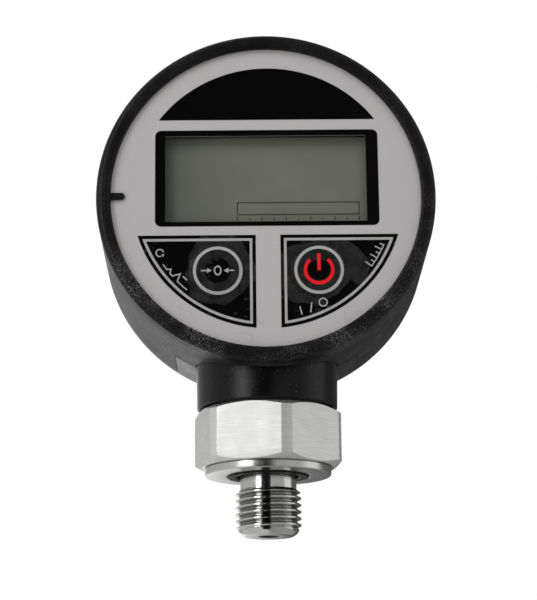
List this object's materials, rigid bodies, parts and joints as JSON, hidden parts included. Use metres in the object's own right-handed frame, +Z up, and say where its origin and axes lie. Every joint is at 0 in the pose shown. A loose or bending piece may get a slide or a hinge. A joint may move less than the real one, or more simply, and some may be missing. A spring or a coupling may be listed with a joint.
{
  "type": "digital pressure gauge",
  "caption": "Round digital pressure gauge with rubber boot, display and two membrane keys, turning on a steel stem with a hexagon and a male pipe thread.",
  "frame": {"origin": "on the stem's axis, in the plane of the sealing face under the flange", "axes": "+Z up the stem towards the head, -Y out of the display, +X to the display's right"},
  "size_m": [0.068, 0.0358, 0.099],
  "materials": {
    "stainless_steel": "milled and turned, bright",
    "sensor_steel": "fine turned",
    "spring_steel": "phosphated",
    "black_seal": "smooth satin",
    "filled_ptfe": "matt",
    "boot_rubber": "matt, fine grain",
    "collar_rubber": "matt, smooth",
    "case_plastic": "fine spark-eroded texture",
    "label_film": "satin light grey with gloss black print",
    "clear_window": "clear",
    "display_glass": "clear",
    "display_film": "satin grey-green",
    "white_reflector": "matt",
    "zebra_rubber": "smooth",
    "green_board": "solder resist",
    "chip_resin": "matt",
    "white_nylon": "satin",
    "zinc_screws": "zinc plated",
    "red_wire": "smooth",
    "cell_jacket": "printed film",
    "nickel_contacts": "nickel plated",
    "key_film": "embossed gloss film"
  },
  "bodies": {
    "stem": {"process_connection": "stainless_steel", "profile_seal": "black_seal", "pressure_sensor": "sensor_steel", "sensor_o_ring": "black_seal", "sensor_clamp_ring": "sensor_steel", "thrust_washer": "filled_ptfe", "swivel_o_ring": "black_seal", "swivel_circlip": "spring_steel", "stop_pin": "spring_steel"},
    "head": {"boot": "boot_rubber", "neck_collar": "collar_rubber", "case_body": "case_plastic", "label_overlay": "label_film", "window_lens": "clear_window", "lcd_glass": "display_glass", "lcd_polarizers": "display_film", "lcd_frame": "case_plastic", "lcd_reflector": "white_reflector", "zebra_strips": "zebra_rubber", "main_board": "green_board", "board_chips": "chip_resin", "board_screws": "zinc_screws", "switch_housings": "chip_resin", "sensor_socket": "white_nylon", "sensor_lead": "red_wire", "battery_leads": "red_wire", "rear_cover": "case_plastic", "rear_gasket": "black_seal", "rear_screws": "zinc_screws", "battery_door": "case_plastic", "door_screw": "zinc_screws", "battery_upper": "cell_jacket", "battery_lower": "cell_jacket", "contact_springs": "nickel_contacts", "contact_plates": "nickel_contacts", "dome_zero": "nickel_contacts", "dome_power": "nickel_contacts"},
    "key_zero": {"key_zero": "key_film", "actuator_zero": "white_nylon"},
    "key_power": {"key_power": "key_film", "actuator_power": "white_nylon"}
  },
  "joints": [
    {"name": "head_swivel", "type": "hinge", "parent": "stem", "child": "head", "pos_m": [0, 0, 0.018], "axis": [0, 0, 1], "range_deg": [-165, 165]},
    {"name": "key_zero_press", "type": "slide", "parent": "head", "child": "key_zero", "axis": [0, 1, 0], "range_m": [0, 0.0003], "stiffness_N_per_m": 3000, "springref_m": -0.0003},
    {"name": "key_power_press", "type": "slide", "parent": "head", "child": "key_power", "axis": [0, 1, 0], "range_m": [0, 0.0003], "stiffness_N_per_m": 3000, "springref_m": -0.0003}
  ]
}
